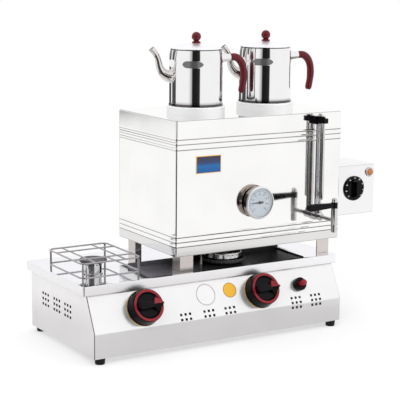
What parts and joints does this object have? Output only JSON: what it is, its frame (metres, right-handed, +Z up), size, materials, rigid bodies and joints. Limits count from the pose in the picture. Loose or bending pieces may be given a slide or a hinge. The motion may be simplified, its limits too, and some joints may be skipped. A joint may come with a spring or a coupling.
{
  "type": "tea urn",
  "caption": "Countertop tea boiler: a beaded water tank with tap, sight gauge, dial and control box on a gas hob, with teapots on top.",
  "frame": {"origin": "centre of the stove cabinet's footprint, on the surface that its feet stand on", "axes": "+X to the user's right along the cabinet, -Y towards the user, +Z up"},
  "size_m": [0.833, 0.4005, 0.7208],
  "materials": {
    "cabinet_steel": "satin stainless sheet",
    "polished_steel": "mirror-polished stainless steel",
    "bright_steel": "polished stainless steel",
    "plated_metal": "plated fittings",
    "enamel": "black enamel",
    "burner_black": "black enamelled iron",
    "brass": "brass",
    "alloy": "cast alloy",
    "black_plastic": "black moulded plastic",
    "red_plastic": "red moulded plastic",
    "rubber": "black rubber",
    "ceramic": "white ceramic",
    "glass": "clear glass",
    "amber_lens": "amber lens",
    "dial_face": "pale blue-white print",
    "pointer_black": "black lacquer",
    "white_plastic": "white moulded plastic"
  },
  "bodies": {
    "stove": {"stove_cabinet": "cabinet_steel", "base_plate": "cabinet_steel", "rubber_feet": "rubber", "hob_top": "polished_steel", "drip_tray": "enamel", "small_burner_body": "plated_metal", "large_burner_bowl": "burner_black", "large_burner_head": "plated_metal", "ignition_electrodes": "ceramic", "gas_rail": "cabinet_steel", "gas_inlet": "brass", "mixer_tubes": "alloy", "valve_bodies": "brass", "knob_bezels": "black_plastic", "igniter_body": "black_plastic"},
    "small_burner_cap": {"small_burner_cap": "burner_black"},
    "pan_support": {"pan_support": "plated_metal"},
    "left_valve_plug": {"left_valve_plug": "brass"},
    "right_valve_plug": {"right_valve_plug": "brass"},
    "left_gas_knob": {"left_spindle": "brass", "left_gas_knob": "black_plastic"},
    "right_gas_knob": {"right_spindle": "brass", "right_gas_knob": "black_plastic"},
    "igniter_button": {"igniter_button": "red_plastic"},
    "tank": {"tank_shell": "polished_steel", "top_deck": "polished_steel", "pot_seats": "bright_steel", "tank_legs": "cabinet_steel", "thermometer_case": "plated_metal", "thermometer_dial": "dial_face", "thermometer_glass": "glass", "thermometer_stem": "brass", "tap_inlet": "plated_metal", "tap_body": "plated_metal", "gauge_guard": "plated_metal", "gauge_glass": "glass", "gauge_strip": "plated_metal", "gauge_bracket": "black_plastic", "control_box": "cabinet_steel", "thermostat_body": "white_plastic", "lamp_bezel": "plated_metal", "lamp_lens": "amber_lens", "heating_element": "plated_metal", "cable_gland": "black_plastic"},
    "thermometer_pointer": {"thermometer_pointer": "pointer_black"},
    "tap_lever": {"tap_lever": "black_plastic"},
    "thermostat_knob": {"thermostat_knob": "black_plastic"},
    "left_pot": {"left_pot_body": "bright_steel", "left_spout": "bright_steel", "left_handle_bracket": "bright_steel", "left_handle": "red_plastic"},
    "right_pot": {"right_pot_body": "bright_steel", "right_spout": "bright_steel", "right_handle_bracket": "bright_steel", "right_handle": "red_plastic"},
    "left_lid": {"left_lid": "bright_steel", "left_lid_knob": "red_plastic"},
    "right_lid": {"right_lid": "bright_steel", "right_lid_knob": "red_plastic"}
  },
  "joints": [
    {"name": "small_burner_cap_lift", "type": "slide", "parent": "stove", "child": "small_burner_cap", "axis": [0, 0, 1], "range_m": [0, 0.03]},
    {"name": "pan_support_lift", "type": "slide", "parent": "stove", "child": "pan_support", "axis": [0, 0, 1], "range_m": [0, 0.06]},
    {"name": "left_knob_turn", "type": "hinge", "parent": "stove", "child": "left_valve_plug", "pos_m": [-0.206, -0.14803, 0.11139], "axis": [0, -0.8975, 0.4411], "range_deg": [0, 180]},
    {"name": "left_knob_push", "type": "slide", "parent": "left_valve_plug", "child": "left_gas_knob", "axis": [0, 0.8975, -0.4411], "range_m": [0, 0.003], "stiffness_N_per_m": 1500, "springref_m": -0.002},
    {"name": "right_knob_turn", "type": "hinge", "parent": "stove", "child": "right_valve_plug", "pos_m": [0.112, -0.14803, 0.11139], "axis": [0, -0.8975, 0.4411], "range_deg": [0, 180]},
    {"name": "right_knob_push", "type": "slide", "parent": "right_valve_plug", "child": "right_gas_knob", "axis": [0, 0.8975, -0.4411], "range_m": [0, 0.003], "stiffness_N_per_m": 1500, "springref_m": -0.002},
    {"name": "igniter_push", "type": "slide", "parent": "stove", "child": "igniter_button", "axis": [0, 0.8975, -0.4411], "range_m": [0, 0.008], "stiffness_N_per_m": 800, "springref_m": -0.003},
    {"name": "tank_lift", "type": "slide", "parent": "stove", "child": "tank", "axis": [0, 0, 1], "range_m": [0, 0.08]},
    {"name": "pointer_turn", "type": "hinge", "parent": "tank", "child": "thermometer_pointer", "pos_m": [0.113, -0.135, 0.325], "axis": [0, 1, 0], "range_deg": [-45, 225]},
    {"name": "tap_lever_turn", "type": "hinge", "parent": "tank", "child": "tap_lever", "pos_m": [0.286, -0.2035, 0.314], "axis": [0, 0, 1], "range_deg": [0, 90]},
    {"name": "thermostat_turn", "type": "hinge", "parent": "tank", "child": "thermostat_knob", "pos_m": [0.417, -0.1085, 0.33], "axis": [0, 1, 0], "range_deg": [0, 270]},
    {"name": "left_pot_lift", "type": "slide", "parent": "tank", "child": "left_pot", "axis": [0, 0, 1], "range_m": [0, 0.12]},
    {"name": "left_lid_lift", "type": "slide", "parent": "left_pot", "child": "left_lid", "axis": [0, 0, 1], "range_m": [0, 0.06]},
    {"name": "right_pot_lift", "type": "slide", "parent": "tank", "child": "right_pot", "axis": [0, 0, 1], "range_m": [0, 0.12]},
    {"name": "right_lid_lift", "type": "slide", "parent": "right_pot", "child": "right_lid", "axis": [0, 0, 1], "range_m": [0, 0.06]}
  ]
}
